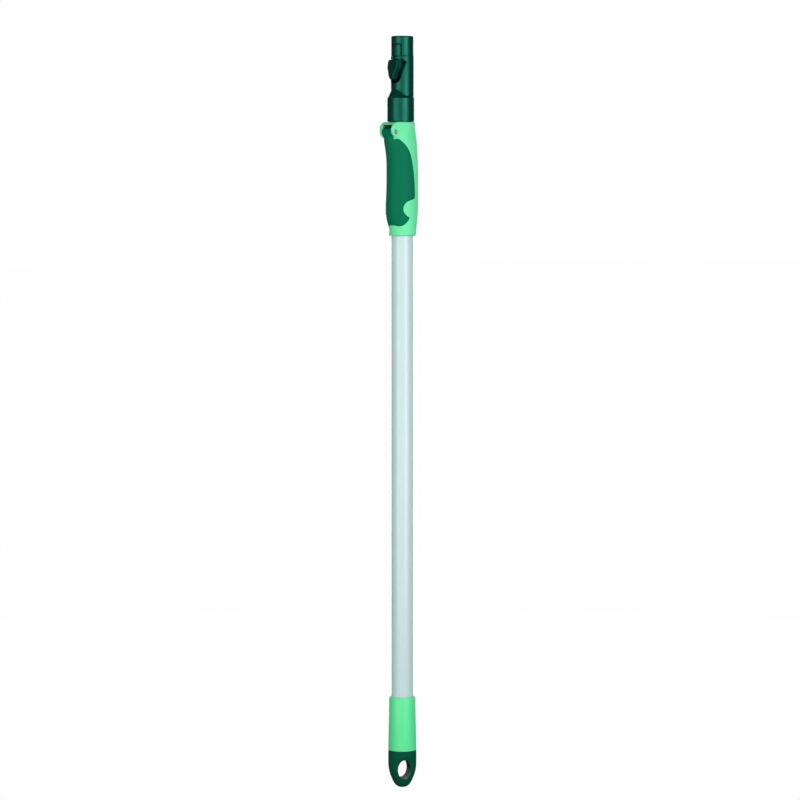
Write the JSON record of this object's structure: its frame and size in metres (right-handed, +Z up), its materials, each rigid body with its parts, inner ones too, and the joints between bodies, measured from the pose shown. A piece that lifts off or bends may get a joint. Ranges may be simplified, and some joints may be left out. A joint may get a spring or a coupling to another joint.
{
  "type": "telescopic window cleaning pole",
  "caption": "Telescopic window cleaning pole: round tubes with a wrap-round lever clamp, a push-on tool nose with a release button, a grip and a hanging cap.",
  "frame": {"origin": "lowest point of the end cap, on the pole's axis", "axes": "+Z up the pole towards the tool nose, -X the side that the clamp lever faces, Y along the lever's pin"},
  "size_m": [0.0431, 0.034, 0.8555],
  "materials": {
    "tube_silver": "drawn tube, satin anodised",
    "dark_green_plastic": "moulded, satin",
    "light_green_grip": "soft-touch moulding",
    "light_green_plastic": "moulded, fine satin",
    "lever_green_plastic": "moulded, satin",
    "connector_green_plastic": "moulded, half gloss",
    "white_bush_plastic": "self-lubricating moulding",
    "black_rubber": "moulded rubber",
    "rivet_steel": "zinc plated",
    "pin_steel": "bright drawn"
  },
  "bodies": {
    "handle": {"outer_tube": "tube_silver", "end_cap": "dark_green_plastic", "end_cap_rivets": "rivet_steel", "grip_sleeve": "light_green_grip", "clamp_housing": "light_green_plastic", "housing_rivets": "rivet_steel", "guide_bush": "white_bush_plastic", "wiper_seal": "black_rubber", "stop_ring": "white_bush_plastic", "lever_pin": "pin_steel"},
    "lever": {"clamp_lever": "lever_green_plastic"},
    "brake": {"brake_shoe": "white_bush_plastic", "brake_pad": "black_rubber"},
    "slide_ring": {"friction_ring": "black_rubber"},
    "extension": {"inner_tube": "tube_silver", "slide_guide": "white_bush_plastic", "guide_cross_pin": "pin_steel", "tool_connector": "connector_green_plastic", "connector_rivet": "rivet_steel", "nose_plug": "connector_green_plastic"},
    "latch": {"latch_tongue": "connector_green_plastic"}
  },
  "joints": [
    {"name": "lever_swing", "type": "hinge", "parent": "handle", "child": "lever", "pos_m": [-0.0196, 0, 0.7471], "axis": [0, 1, 0], "range_deg": [0, 75]},
    {"name": "brake_release", "type": "slide", "parent": "handle", "child": "brake", "axis": [-1, 0, 0], "range_m": [0, 0.00072]},
    {"name": "tube_slide", "type": "slide", "parent": "handle", "child": "slide_ring", "axis": [0, 0, 1], "range_m": [0, 0.559]},
    {"name": "tube_turn", "type": "hinge", "parent": "slide_ring", "child": "extension", "pos_m": [0, 0, 0.0658], "axis": [0, 0, 1], "continuous": true},
    {"name": "latch_press", "type": "hinge", "parent": "extension", "child": "latch", "pos_m": [-0.0092, 0, 0.8459], "axis": [0, -1, 0], "range_deg": [0, 6], "stiffness_Nm_per_rad": 5}
  ],
  "couplings": [
    {"joint": "brake_release", "follows": "lever_swing", "m_per_rad": 0.00053476}
  ]
}
